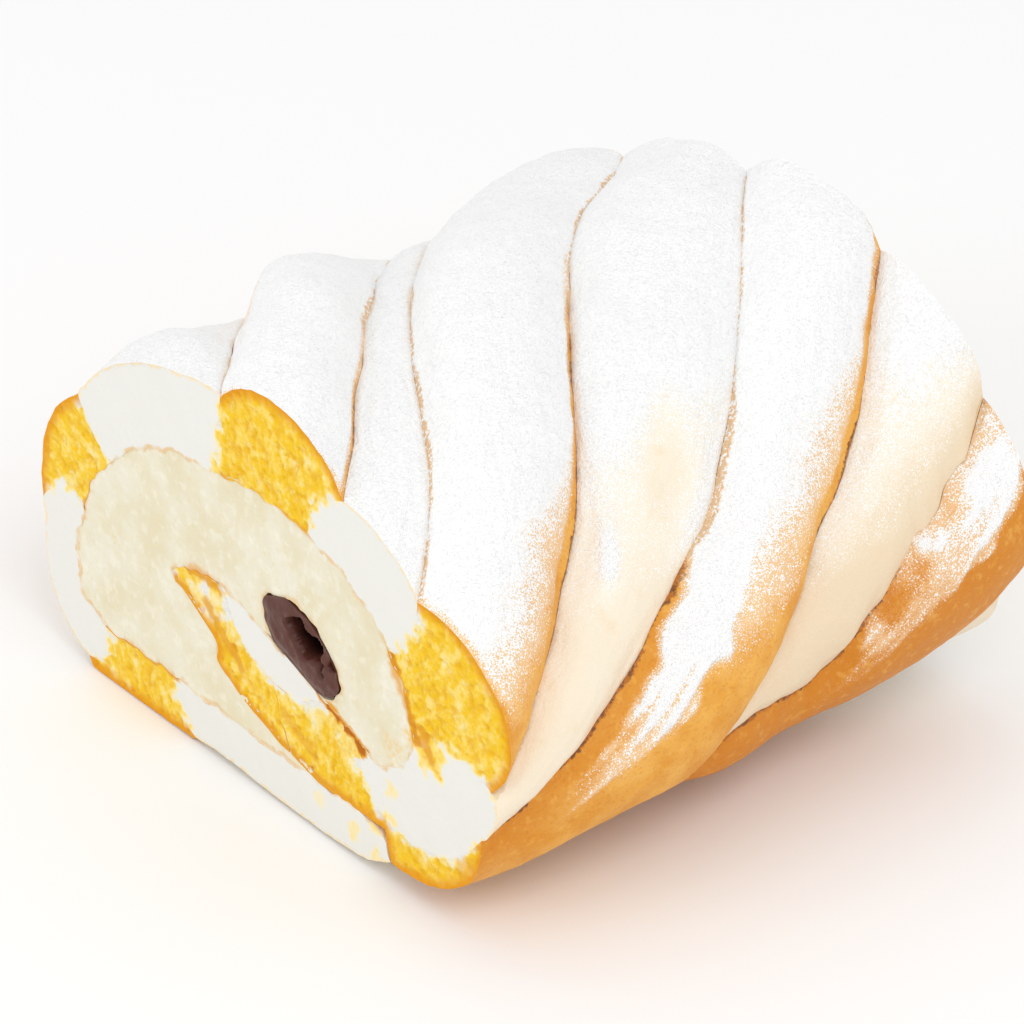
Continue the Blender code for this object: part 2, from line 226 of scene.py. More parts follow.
# Down the right flank of a sponge rope, from this place round the outside, the sugar is thin
# over this distance from the groove: (from, whole by, distance, loss of score)
THIN_FLANK = (150.0, 185.0, 3.4, 0.75)
NARROW_FLANKS = {5: 1.4}   # these ropes have it over less
VEIL_FROM = -0.35          # a thin veil of sugar starts at this score
# Spots on the ropes: (rope, place along the roll, share across the rope, reach both ways, amount)
SUGAR_SPOTS = (
    (8, -2.8, 0.64, 8, 0.16, -0.75), (8, -20.5, 0.33, 3.2, 0.11, 0.75), (8, -2.0, 0.95, 10, 0.08, 0.5),
    (8, -20.0, 0.6, 40, 2, -0.15), (9, -52.0, 0.02, 28, 0.09, -1.9), (9, -14.0, 0.0, 14, 0.05, -0.8),
    (10, 20.0, 0.6, 60, 2, -0.32), (11, 0.0, 0.75, 90, 0.35, -0.9), (4, 50.0, 0.6, 30, 2, -0.1),
    (9, -28.0, 0.70, 22, 0.26, 0.55), (8, -34.0, 0.4, 22, 0.6, -0.6),
)
# Darker crust, as (rope, place along the roll, share across the rope, reach both ways, amount): browning
# on sponge ropes 9 and 11, painted shade on meringue rope 10
BAKED_AND_SHADED_SPOTS = (
    (11, 0.0, 0.5, 200, 4, 0.9), (10, 20.0, 0.7, 60, 2, 0.7), (9, -52.0, 0.02, 30, 0.16, 0.85),
)
OPEN_SEAMS = ((7, -28.0, 0.0, 15, 0.5, 0.55), (9, 5.0, 0.0, 16, 0.5, 0.85))


def along(values, x):
    """Value at x of something given at the near cut, halfway and at the far cut."""
    near, middle, far = values
    t = np.asarray(x) / (LENGTH / 2)
    return middle + (far - near) / 2 * t + ((near + far) / 2 - middle) * t * t


def bent(points, x):
    """Value at x on a line through points, its corners rounded over GROOVE_BLEND."""
    offsets = np.linspace(-GROOVE_BLEND / 2, GROOVE_BLEND / 2, 9)
    return np.mean([np.interp(x + offset, *zip(*points)) for offset in offsets], axis=0)


def bell(x, y, spot):
    """How near a place is to a spot's middle, 1 there and 0 well out of its reach."""
    at_x, at_y, reach_x, reach_y = spot
    return np.exp(-(((x - at_x) / reach_x) ** 2 + ((y - at_y) / reach_y) ** 2))


def swelling(x, outer):
    """How much thicker the sheet is than its usual cross-section."""
    return sum(height * bell(x, outer, spot) for *spot, height in SWELLS)


def step(low, high, value):
    """Smooth step from 0 at low to 1 at high."""
    t = np.clip((value - low) / (high - low), 0, 1)
    return t * t * (3 - 2 * t)


def smoothed(values, width, spacing):
    """Running mean over a width, with the ends held."""
    count = int(width / spacing) | 1
    padded = np.pad(values, count // 2, mode="edge")
    return np.convolve(padded, np.ones(count) / count, "valid")


def lattice(cells, seed):
    """A repeatable value from -1 to 1 for each lattice point."""
    x, y, z = (cells[..., axis].astype(np.int64).astype(np.uint32) for axis in range(3))
    mixed = x * np.uint32(374761393) + y * np.uint32(668265263) + z * np.uint32(2246822519)
    mixed = mixed + np.uint32(seed * 7919 + 1)
    mixed = (mixed ^ (mixed >> np.uint32(15))) * np.uint32(2246822519)
    mixed = (mixed ^ (mixed >> np.uint32(13))) * np.uint32(3266489917)
    return (mixed ^ (mixed >> np.uint32(16))).astype(float) / 2 ** 31 - 1


def noise(points, size, seed=0):
    """Smooth lumps of a size in millimetres, from -1 to 1."""
    scaled = points / size
    cells = np.floor(scaled)
    part = scaled - cells
    soft = part * part * (3 - 2 * part)
    total = 0
    for corner in np.ndindex(2, 2, 2):
        weight = np.prod(np.where(corner, soft, 1 - soft), axis=-1)
        total = total + weight * lattice(cells + corner, seed)
    return total


def layered(points, layers, seed, stride=1):
    """The sum of noises given as (size, reach)."""
    return sum(reach * noise(points, size, seed + stride * place)
               for place, (size, reach) in enumerate(layers))


def at_level(points, level):
    """Points of a cross-section as places in space, where each level has its own noise."""
    return np.column_stack([points, np.full(len(points), float(level))])


class Section:
    """The sheet in cross-section: skin, outward normal, thickness and length round the outside."""

    def __init__(self):
        lengths = np.array([run[0] for run in SKIN_RUNS])
        turns = np.radians([run[1] for run in SKIN_RUNS])
        ends = np.concatenate([[0], np.cumsum(lengths)])
        self.length = ends[-1]
        count = int(round(self.length / SKIN_STEP)) + 1
        self.distance = np.linspace(0, self.length, count)
        heading = np.interp(self.distance, ends, np.concatenate([[0], np.cumsum(turns)]))
        heading = smoothed(heading, BLEND, SKIN_STEP)
        spacing = self.distance[1]
        middle = (heading[1:] + heading[:-1]) / 2
        self.y = SKIN_START[0] + np.concatenate([[0], np.cumsum(np.cos(middle) * spacing)])
        self.z = SKIN_START[1] + np.concatenate([[0], np.cumsum(np.sin(middle) * spacing)])
        self.normal_y = np.sin(heading)
        self.normal_z = -np.cos(heading)
        places, depths = zip(*THICKNESS)
        self.thickness = smoothed(np.interp(self.distance, places, depths),
                                  THICKNESS_BLEND, SKIN_STEP)
        outer_y = self.y + self.normal_y * self.thickness
        outer_z = self.z + self.normal_z * self.thickness
        sides = np.hypot(np.diff(outer_y), np.diff(outer_z))
        self.outer = np.concatenate([[0], np.cumsum(sides)])
        self.outer_end = self.outer[-1]

    def to_distance(self, outer):
        return np.interp(outer, self.outer, self.distance)

    def to_outer(self, distance):
        return np.interp(distance, self.distance, self.outer)

    def point(self, distance, height):
        """(y, z) at a height over the skin."""
        def read(values):
            return np.interp(distance, self.distance, values)
        y = read(self.y) + read(self.normal_y) * height
        z = read(self.z) + read(self.normal_z) * height
        return y, z

    def inside_sheet(self, x, outer, depth, extra=0.0):
        """(y, z) at a place round the outside and a share of the thickness, and extra height."""
        distance = self.to_distance(outer)
        thickness = np.interp(distance, self.distance, self.thickness) + swelling(x, outer)
        height = thickness * depth + extra
        y, z = self.point(distance, height)
        over = np.clip((y - FLAP_EDGE[0]) / (FLAP_EDGE[1] - FLAP_EDGE[0]), 0, 1)
        floor = np.where(distance > FLAP_FROM, FLAP_REST * over, 0.0)
        return y, np.maximum(z, floor)


section = Section()
stations = np.linspace(-LENGTH / 2, LENGTH / 2, STATIONS)


def lifted(x, y, z):
    """Points with the roll's slow rise towards its far end."""
    x, y, z = np.broadcast_arrays(x, y, z)
    return np.stack([x, y, z * along((1.0, 1.0, 1.0 + END_LIFT), x)], axis=-1)


def groove_rows():
    """Outer lengths of every groove at skin, half depth and crust: stations by grooves by 3."""
    end = section.outer_end
    rows = [np.full((STATIONS, 3), SHEET_FROM)]
    for number, (line, slant) in enumerate(GROOVES):
        where = np.stack([stations, np.full(STATIONS, 31.0 * number), np.zeros(STATIONS)], axis=1)
        wobble = layered(where, WOBBLE, 17, 0)
        if number == TORN_GROOVE[0]:
            wobble = wobble * (1 + (TORN_GROOVE[1] - 1) * step(-4, 6, stations))
        crust = np.clip(bent(line, stations) + wobble - LEAN * stations, SHEET_FROM, end)
        top = section.to_distance(crust)
        slope = along(slant, stations)
        inward = 1 if number % 2 == 0 else -1
        half = section.to_outer(np.clip(top + slope * (0.5 + WAIST_SHARE) + inward * WAIST,
                                        0, section.length))
        foot = section.to_outer(np.clip(top + slope, 0, section.length))
        whole = (crust > SHEET_FROM) & (crust < end)
        rows.append(np.stack([np.where(whole, foot, crust), np.where(whole, half, crust), crust], 1))
    rows.append(np.full((STATIONS, 3), end))
    return np.stack(rows, axis=1)


grooves = groove_rows()


def pocket_closed():
    """How far the pocket has closed at each station, 0 to 1."""
    return step(0, POCKET_OVER, POCKET_FROM - stations)[:, None]


def pocket_edge(share):
    """The closed pocket's outer side, as outer lengths and depths at shares across it."""
    left, right = grooves[:, POCKET, 0][:, None], grooves[:, POCKET + 1, 0][:, None]
    outer = left + (right - left) * share
    depth = POCKET_DEPTH * (1 - np.abs(2 * share - 1) ** POCKET_POWER)
    return outer, np.broadcast_to(depth, outer.shape)


def closing(open_line, closed_line):
    """Outer lengths and depths that turn from one line into another as the pocket closes."""
    closed = pocket_closed()
    return tuple(one + (two - one) * closed for one, two in zip(open_line, closed_line))


def open_wall(groove, t):
    """A groove's wall at shares t from skin to crust: outer lengths and depths."""
    skin, half, crust = (grooves[:, groove, level][:, None] for level in range(3))
    outer = skin * (1 - t) * (1 - 2 * t) + half * 4 * t * (1 - t) + crust * t * (2 * t - 1)
    return outer, np.broadcast_to(t, outer.shape)


def wall_path(groove, t, number):
    """The wall of rope number at a groove; beside the pocket it follows the pocket's."""
    wall = open_wall(groove, t)
    side = groove - POCKET
    if side not in (0, 1):
        return wall
    if number == POCKET:
        return closing(wall, pocket_edge(side + (1 - 2 * side) * t * POCKET_BACK[0]))
    share = POCKET_SPLIT + (side - POCKET_SPLIT) * (1 - np.minimum(2 * t, 1))
    outer, depth = pocket_edge(share)
    above = np.clip(2 * t - 1, 0, 1)
    pinch = grooves[:, groove, 2][:, None]
    return closing(wall, (outer + (pinch - outer) * above, depth + (1 - depth) * above))


def rope_ring(number, steps):
    """Outlines of one rope at all stations: outer lengths and depths."""
    skin_steps, wall_steps, crust_steps = steps
    left, right = grooves[:, number], grooves[:, number + 1]
    t = np.linspace(0, 1, wall_steps + 1)
    share = np.linspace(0, 1, skin_steps + 1)
    back = np.linspace(1, 0, crust_steps + 1)
    skin = left[:, :1] + (right[:, :1] - left[:, :1]) * share
    crust = left[:, 2:] + (right[:, 2:] - left[:, 2:]) * back
    crust_depth = np.ones_like(crust)
    if number == POCKET:
        start, size = POCKET_BACK
        crust, crust_depth = closing((crust, crust_depth), pocket_edge(start + size * back))
    far_outer, far_depth = wall_path(number + 1, t, number)
    near_outer, near_depth = wall_path(number, t, number)
    outer = np.concatenate([skin, far_outer[:, 1:-1], crust, near_outer[:, -2:0:-1]], axis=1)
    depth = np.concatenate([np.zeros_like(skin), far_depth[:, 1:-1], crust_depth,
                            near_depth[:, -2:0:-1]], axis=1)
    return outer, depth


def surface_normals(points):
    """Unit normals of a grid of points, stations by places round."""
    along_x = np.gradient(points, axis=0)
    around = np.gradient(points, axis=1)
    normals = np.cross(along_x, around)
    return normals / np.maximum(np.linalg.norm(normals, axis=-1), 1e-9)[..., None]


def spotted(spots, number, x, share):
    """The sum of a rope's spots at places along and across it."""
    total = np.zeros(np.broadcast_shapes(np.shape(x), np.shape(share)))
    for rope, *spot, amount in spots:
        if rope == number:
            total = total + amount * bell(x, share, spot)
    return total


def sugar_amount(points, normals, number, share, width, outer, combed):
    """How much icing sugar lies on each point of a rope's crust, and its veil, from 0 to 1."""
    height = np.clip(SUGAR_CLIMB * (points[..., 2] - SUGAR_LINE), -1.0, SUGAR_CLIMB_MOST)
    score = normals[..., 2] + height + layered(points, SUGAR_WANDER, 3)
    if number in SUGAR_BANDS:
        middle, half_width, addition = SUGAR_BANDS[number]
        off = np.abs(share - middle) / half_width + 0.4 * noise(points, 3.4, 19)
        band = 1 - step(0.4, 1.0, off)
        score = score + addition * band * (0.85 + 0.45 * combed)
    score = score + spotted(SUGAR_SPOTS, number, points[..., 0], share)
    if number % 2:
        to_cut = LENGTH / 2 - np.abs(points[..., 0])
        score = score - 0.5 * (1 - step(0.0, 1.3, to_cut + 0.5 * noise(points, 1.0, 11)))
        start, whole, distance, loss = THIN_FLANK
        distance = NARROW_FLANKS.get(number, distance)
        flank = 1 - step(0.2, 1.0, width * (1 - share) / distance)
        score = score - loss * flank * step(start, whole, outer)
    return step(SUGAR_FROM, SUGAR_FULL, score), step(VEIL_FROM, SUGAR_FULL, score)


def crust_relief(points, number, outer, share, width):
    """Displaced points of a rope's outer surface, its sugar and the sugar's veil."""
    from_seam = width * np.minimum(share, 1 - share)
    sway = layered(points, SWAY, 1) * (0.35 + 0.65 * step(0, 2.0, from_seam))
    points = points + surface_normals(points) * sway[..., None]
    normals = surface_normals(points)
    comb_width, comb_length = COMB
    streaks = np.stack([from_seam / comb_width, outer / comb_length,
                        np.full_like(outer, number * 5.0)], -1)
    combed = noise(streaks, 1.0, 5)
    sugar, veil = sugar_amount(points, normals, number, share, width, outer, combed)
    lumps = layered(points, SUGAR_LUMPS, 6)
    dusted = sugar * (SUGAR_DEPTH * (0.75 + 0.35 * lumps) + 0.10 * combed)
    wrinkles = COMB_DEPTH * combed + layered(points, WRINKLES, 9)
    size, reach = FRINGE
    fringe = 4 * sugar * (1 - sugar) * reach * np.clip(noise(points, size, 8), 0, 1)
    relief = (dusted + (1 - sugar) * wrinkles + fringe) * (0.25 + 0.75 * step(0, 1.2, from_seam))
    points = points + normals * relief[..., None]
    points[..., 2] = np.maximum(points[..., 2], 0.0)
    return points, sugar, veil


def torn(points, share):
    """Points shifted within the cross-section as the knife tore them, near the cuts only."""
    near_cut = np.exp(-(LENGTH / 2 - np.abs(points[..., 0])) / RAGGED_DEPTH)
    for axis in (1, 2):
        points[..., axis] += layered(points, RAGGED, 12 + axis, 2) * near_cut * share
    points[..., 2] = np.maximum(points[..., 2], 0.0)
    return points


def segment_distance(points, line):
    """Distance from each point to the nearest part of a polyline."""
    best = np.full(len(points), 1e9)
    for start, end in zip(line[:-1], line[1:]):
        side = end - start
        share = np.clip((points - start) @ side / max(side @ side, 1e-12), 0, 1)
        best = np.minimum(best, np.linalg.norm(points - start - share[:, None] * side, axis=1))
    return best


def edge_distance(points, outline):
    """Distance from each point to a closed outline."""
    return segment_distance(points, np.vstack([outline, outline[:1]]))


def inside(points, outline):
    """Which points lie inside an outline."""
    result = np.zeros(len(points), bool)
    for start, end in zip(outline, np.roll(outline, -1, axis=0)):
        crosses = (start[1] > points[:, 1]) != (end[1] > points[:, 1])
        rise = end[1] - start[1]
        at = start[0] + (points[:, 1] - start[1]) / (rise if abs(rise) > 1e-12 else 1e-12) \
            * (end[0] - start[0])
        result ^= crosses & (points[:, 0] < at)
    return result


def fill_cut(outline, spacing, seed):
    """Triangles over a cut face: its points, those of the outline first, and its triangles."""
    low, high = outline.min(0), outline.max(0)
    rows = np.arange(low[1], high[1], spacing * 0.87)
    columns = np.arange(low[0], high[0], spacing)
    y, z = np.meshgrid(columns, rows)
    y = y + (np.arange(len(rows)) % 2)[:, None] * spacing / 2
    grid = np.stack([y.ravel(), z.ravel()], axis=1)
    shake = at_level(grid, seed)
    grid = grid + 0.22 * spacing * np.stack([noise(shake, 0.31, 21), noise(shake, 0.31, 22)], 1)
    grid = grid[inside(grid, outline)]
    grid = grid[edge_distance(grid, outline) > spacing * 0.6]
    points = np.vstack([outline, grid])
    count = len(outline)
    edges = [(one, (one + 1) % count) for one in range(count)]
    made, _, faces, sources, _, _ = delaunay_2d_cdt(
        [Vector(point) for point in points], edges, [], 1, 1e-5)
    extra = [index for index, source in enumerate(sources) if not source]
    index_of = [source[0] if source else len(points) + extra.index(index)
                for index, source in enumerate(sources)]
    points = np.vstack([points, *(made[index] for index in extra)])
    triangles = np.array([[index_of[corner] for corner in face] for face in faces])
    return points, triangles


def make_piece(name, rings, cuts, attributes, corners, materials):
    """A closed mesh: rings along the roll, with a filled cut face at each end.

    cuts holds for each end the inner points, the triangles and the attribute values there.
    """
    count = rings.shape[1]
    first, last = 0, len(rings) - 1
    vertices = [rings.reshape(-1, 3)]
    values = {key: [value.reshape(-1)] for key, value in attributes.items()}
    one = np.arange(count)
    two = (one + 1) % count
    base = (np.arange(last) * count)[:, None]
    quads = np.stack([base + one, base + count + one, base + count + two, base + two], axis=-1)
    faces = quads.reshape(-1, 4).tolist()
    side_faces = len(faces)
    total = rings.shape[0] * count
    for station, (inner, triangles, inner_values) in zip((first, last), cuts):
        shift = np.where(triangles < count, triangles + station * count,
                         triangles - count + total)
        if station == first:
            shift = shift[:, ::-1]
        faces += shift.tolist()
        vertices.append(inner)
        for key in values:
            values[key].append(inner_values[key])
        total += len(inner)
    mesh = bpy.data.meshes.new(name)
    mesh.from_pydata((np.vstack(vertices) * MM).tolist(), [], faces)
    for key, parts in values.items():
        made = mesh.attributes.new(key, "FLOAT", "POINT")
        made.data.foreach_set("value", np.concatenate(parts).astype(np.float32))
    for material in materials:
        mesh.materials.append(material)
    slots = np.zeros(len(faces), np.int32)
    slots[side_faces:] = len(materials) - 1
    mesh.polygons.foreach_set("material_index", slots)
    mesh.shade_smooth()
    sharpen(mesh, count, len(rings), corners)
    mesh.validate()
    piece = bpy.data.objects.new(name, mesh)
    bpy.context.scene.collection.objects.link(piece)
    return piece


def sharpen(mesh, count, stations_here, corners):
    """Sharp edges round both cut faces and along the corners of the outline."""
    ends = np.zeros(len(mesh.edges) * 2, np.int32)
    mesh.edges.foreach_get("vertices", ends)
    low, high = np.sort(ends.reshape(-1, 2), axis=1).T
    ring_low, ring_high = low // count, high // count
    on_ring = (high < count * stations_here) & (ring_low == ring_high)
    round_cut = on_ring & np.isin(ring_low, (0, stations_here - 1))
    place_low, place_high = low % count, high % count
    beside = np.isin(place_high - place_low, (1, count - 1))
    lengthways = (high < count * stations_here) & (high - low == count) & np.isin(place_low, corners)
    sharp = mesh.attributes.new("sharp_edge", "BOOLEAN", "EDGE")
    sharp.data.foreach_set("value", (round_cut & beside) | lengthways)


def nearest_skin(points, span):
    """Distance along the skin and height over it of points in the sheet's cross-section."""
    chosen = (section.distance >= span[0]) & (section.distance <= span[1])
    skin = np.stack([section.y[chosen], section.z[chosen]], axis=1)
    far = np.linalg.norm(points[:, None] - skin[None], axis=2)
    return section.distance[chosen][far.argmin(axis=1)], far.min(axis=1)


def cut_relief(kind, points, along_skin, height, from_edge, seed):
    """How deep the crumb of a cut face lies, and its streaks and pores, from 0 to 1."""
    flat = at_level(points, 9 * seed)
    grain = np.column_stack([along_skin / 0.75 + height * 0.35, height / 2.8])
    grain = at_level(grain, 9 * seed)
    streak = 0.65 * noise(grain, 1.0, 31) + 0.5 * noise(grain, 0.5, 32)
    fade = step(0, 0.6, from_edge)
    if kind == "sponge":
        pore = step(0.2, 0.65, noise(flat, 0.85, 33)) + 0.7 * step(0.3, 0.7, noise(flat, 1.6, 34))
        deep = 0.20 * step(0.0, 0.6, streak) + 0.26 * pore + 0.12 * noise(flat, 4.0, 35)
    elif kind == "meringue":
        pore = step(0.35, 0.7, noise(flat, 0.8, 33))
        deep = 0.04 * streak + 0.04 * pore + 0.12 * noise(flat, 5.0, 35)
    else:
        pore = step(0.3, 0.8, noise(flat, 1.0, 33))
        deep = 0.05 * noise(flat, 0.9, 36) + 0.08 * pore + 0.16 * noise(flat, 4.5, 35)
    return deep * fade, np.clip(0.5 + 0.5 * streak, 0, 1), np.clip(pore, 0, 1)


def browned_streaks(points):
    """How brown the near cut is at each point, from 0 to 1."""
    flat = at_level(points, 0)
    brown = np.zeros(len(points))
    for line, width, strength in BROWNED:
        line = np.array(line)
        off = segment_distance(points, line) + 0.6 * noise(flat, 1.3, 37) + 0.3 * noise(flat, 0.7, 48)
        brown = np.maximum(brown, strength * (1 - step(0.25 * width, 0.75 * width, off)))
    return brown


def dragged_crumb(points):
    """How much yellow crumb is smeared over each point of the near cut, or less than 0."""
    flat = at_level(points, 2)
    smear = np.zeros(len(points))
    for centre, radius, strength in DRAGGED:
        off = np.linalg.norm(points - centre, axis=1) / radius + 0.55 * noise(flat, 1.3, 47)
        here = strength * (1 - step(0.4, 1.15, off))
        smear = np.where(np.abs(here) > np.abs(smear), here, smear)
    return smear


def flap_crust(points, rim):
    """How brown the flap's crust edge is at each point of the near cut, from 0 to 1."""
    flat = at_level(points, 1)
    width, strength = FLAP_CRUST
    band = 1 - step(0.2 * width, width, rim + 0.5 * noise(flat, 1.5, 38))
    gaps = step(-0.25, 0.25, noise(flat, 5.0, 39) + 0.35 * noise(flat, 1.6, 40))
    return strength * band * gaps * step(-27.0, -22.0, points[:, 0])


def set_in(points, rings, end, inward, deep):
    """Inner points of a cut face as points in space, set in from the face."""
    return np.column_stack([rings[end, 0, 0] + inward * deep, points])


def held_stations(number):
    """The stations at which a rope is there."""
    widths = grooves[:, number + 1] - grooves[:, number]
    held = np.maximum(widths[:, 0], widths[:, 2]) > NARROWEST
    if number == POCKET:
        held |= pocket_closed()[:, 0] > 0
    held = np.flatnonzero(held)
    return slice(held[0], held[-1] + 1)


def rope_cut(number, end, outline, steps):
    """A rope's cut face: its points, the outline's first, its triangles and the points' values."""
    skin_steps, wall_steps, crust_steps = steps
    crust_from = skin_steps + wall_steps
    crust_to = crust_from + crust_steps + 1
    points, triangles = fill_cut(outline, CUT_FACET, number + end)
    far_wall = outline[skin_steps:crust_from + 1]
    near_wall = np.vstack([outline[crust_to - 1:], outline[:1]])
    beside_pocket = end == 0 and number in (POCKET - 1, POCKET + 1)
    if beside_pocket and number < POCKET:
        far_wall = far_wall[:len(far_wall) // 2]
    if beside_pocket and number > POCKET:
        near_wall = near_wall[len(near_wall) // 2:]
    values = {
        "rim": segment_distance(points, outline[crust_from:crust_to]),
        "skin": segment_distance(points, outline[:skin_steps + 1]),
        "wall": np.minimum(segment_distance(points, far_wall),
                           segment_distance(points, near_wall)),
        **knife_marks(points, end),
    }
    if beside_pocket:
        values["brown"] = np.maximum(values["brown"], flap_crust(points, values["rim"]))
    return points, triangles, values


def knife_marks(points, end):
    """The browned streaks and dragged crumb, which only the near cut has."""
    if end == 0:
        return {"brown": browned_streaks(points), "smear": dragged_crumb(points)}
    return {"brown": np.zeros(len(points)), "smear": np.zeros(len(points))}


def build_rope(number, materials):
    """One rope of the sheet: a crusted back, walls and skin, and a cut face at each end."""
    is_sponge = number % 2 == 1
    kind = "sponge" if is_sponge else "meringue"
    held = held_stations(number)
    skin_width, _, crust_width = (grooves[:, number + 1] - grooves[:, number]).max(axis=0)
    skin_steps = max(int(skin_width / SKIN_FACET), 3)
    wall_steps = int(section.thickness.max() / WALL_FACET)
    crust_steps = max(int(crust_width / CRUST_FACET), 4)
    steps = (skin_steps, wall_steps, crust_steps)
    crust_from = skin_steps + wall_steps
    crust_to = crust_from + crust_steps + 1
    back = np.s_[:, crust_from:crust_to]

    outer, depth = (line[held] for line in rope_ring(number, steps))
    x = stations[held][:, None]
    share = np.linspace(1, 0, crust_steps + 1)
    width = (grooves[held, number + 1, 2] - grooves[held, number, 2])[:, None]
    width = np.maximum(width, 0.01)
    crown = bent(CROWNS[number], x) * np.minimum(width / FULL_WIDTH, 1.0)
    fade = np.interp(outer[back], *zip(*CROWN_FADE))
    extra = np.zeros_like(outer)
    extra[back] = crown * fade * (1 - np.abs(2 * share - 1) ** CROWN_POWER)
    y, z = section.inside_sheet(x, outer, depth, extra)
    rings = lifted(x, y, np.maximum(z, 0.0))
    crust, sugar, veil = crust_relief(rings[back].copy(), number, outer[back], share, width)
    if number == 0:
        rings = rounded_end(rings, outer)
    rings = torn(rings, 1 - step(0.7, 1.0, depth))
    rings[back] = crust

    names = ("sugar", "veil", "baked", "rim", "wall", "skin", "streak", "pore", "brown", "smear")
    attributes = {name: np.zeros(rings.shape[:2]) for name in names}
    attributes["sugar"][back] = sugar
    attributes["veil"][back] = veil
    # browning on the sponge ropes; on meringue rope 10 it is painted shade
    attributes["baked"][back] = spotted(BAKED_AND_SHADED_SPOTS, number, x, share)
    from_seam = width * np.minimum(share, 1 - share)
    attributes["wall"][back] = from_seam - spotted(OPEN_SEAMS, number, x, share)
    attributes["streak"][:] = 0.5
    cuts = []
    for end, inward in ENDS:
        outline = rings[end][:, 1:]
        count = len(outline)
        points, triangles, values = rope_cut(number, end, outline, steps)
        for name, value in values.items():
            attributes[name][end] = value[:count]
        values = {name: value[count:] for name, value in values.items()}
        inner = points[count:]
        span = section.to_distance(outer[end].min()) - 4, section.to_distance(outer[end].max()) + 4
        along_skin, height = nearest_skin(inner, span)
        from_edge = edge_distance(inner, outline)
        deep, values["streak"], values["pore"] = cut_relief(
            kind, inner, along_skin, height, from_edge, number + end)
        values["sugar"] = values["veil"] = values["baked"] = np.zeros(len(inner))
        cuts.append((set_in(inner, rings, end, inward, deep), triangles, values))
    corners = (0, skin_steps, crust_from, crust_to - 1)
    name = f"{kind}_rope_{number // 2 + 1}"
    piece = make_piece(name + "_baked", rings, cuts, attributes, corners, materials)
    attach(piece, "root")
    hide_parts(name)


def rounded_end(rings, outer):
    """The sheet's outer end, rounded off and bulging a little."""
    toward = 1 - np.clip(outer / 4.0, 0, 1)
    middle = 4.4
    rings[..., 2] = middle + (rings[..., 2] - middle) * np.sqrt(1 - 0.7 * toward ** 2)
    upright = 1 - ((rings[..., 2] - middle) / middle) ** 2
    rings[..., 1] -= 1.6 * toward * np.clip(upright, 0, 1)
    return rings


def turned(y, z, degrees):
    """(y, z) turned round the origin."""
    turn = math.radians(degrees)
    return y * math.cos(turn) - z * math.sin(turn), y * math.sin(turn) + z * math.cos(turn)


def core_ring(x):
    """Outline of the paste core at stations x, lumpy."""
    angles = np.linspace(0, 2 * math.pi, CORE_SIDES, endpoint=False)
    turn = np.stack([np.cos(angles), np.sin(angles)], axis=-1)
    where = np.concatenate([np.broadcast_to(turn * 9, (len(x), CORE_SIDES, 2)),
                            np.broadcast_to(x[:, None, None], (len(x), CORE_SIDES, 1))], axis=2)
    lumps = 1 + layered(where, CORE_LUMPS, 41)
    flat = CORE_HALF[0] * turn[:, 0] * lumps
    tall = np.maximum(CORE_HALF[1] * turn[:, 1] * lumps, CORE_FOOT)
    y, z = turned(flat, tall, CORE_TILT)
    return CORE_CENTRE[0] + y, CORE_CENTRE[1] + z


def filled_cuts(rings, facet, seed, work_out):
    """Both cut faces of a piece; work_out says how deep their inner points lie, and values."""
    cuts = []
    for end, inward in ENDS:
        outline = rings[end][:, 1:]
        points, triangles = fill_cut(outline, facet, seed + end)
        inner = points[len(outline):]
        deep, values = work_out(inner, edge_distance(inner, outline), end)
        cuts.append((set_in(inner, rings, end, inward, deep), triangles, values))
    return cuts


def paste_cut(points, from_edge, end):
    """How deep the paste's cut lies at each point, and where it is hollow, from 0 to 1."""
    (centre_y, centre_z), (half_y, half_z), tilt, deepest = CAVITY
    lift = 1.0 if end == 0 else 1.0 + END_LIFT
    flat, tall = turned(points[:, 0] - centre_y, points[:, 1] / lift - centre_z, -tilt)
    where = at_level(points, 7 * end)
    hollow = 1 - step(0.72, 1.02, np.hypot(flat / half_y, tall / half_z) + layered(where, CAVITY_EDGE, 43))
    ridge_size, ridge_height = CAVITY_RIDGE
    ridge = ridge_height * step(0.1, 0.5, noise(where, ridge_size, 45)) * hollow
    bulge_reach, bulge_height = PASTE_BULGE
    bulge = bulge_height * step(0, bulge_reach, from_edge) * (1 - hollow)
    rough = layered(where, PASTE_ROUGH, 46) * step(0, 0.8, from_edge)
    return hollow * (deepest - ridge) - bulge + rough, {"hollow": hollow}


def build_core(materials):
    """The dark paste, torn open at both cuts."""
    half = LENGTH / 2 + CREAM_SET_BACK
    x = np.linspace(-half, half, INNER_STATIONS)
    rings = lifted(x[:, None], *core_ring(x))
    attributes = {"hollow": np.zeros(rings.shape[:2])}
    cuts = filled_cuts(rings, PASTE_FACET, 50, paste_cut)
    piece = make_piece("dark_paste", rings, cuts, attributes, (), materials)
    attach(piece, "root")
    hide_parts("dark_paste_core")


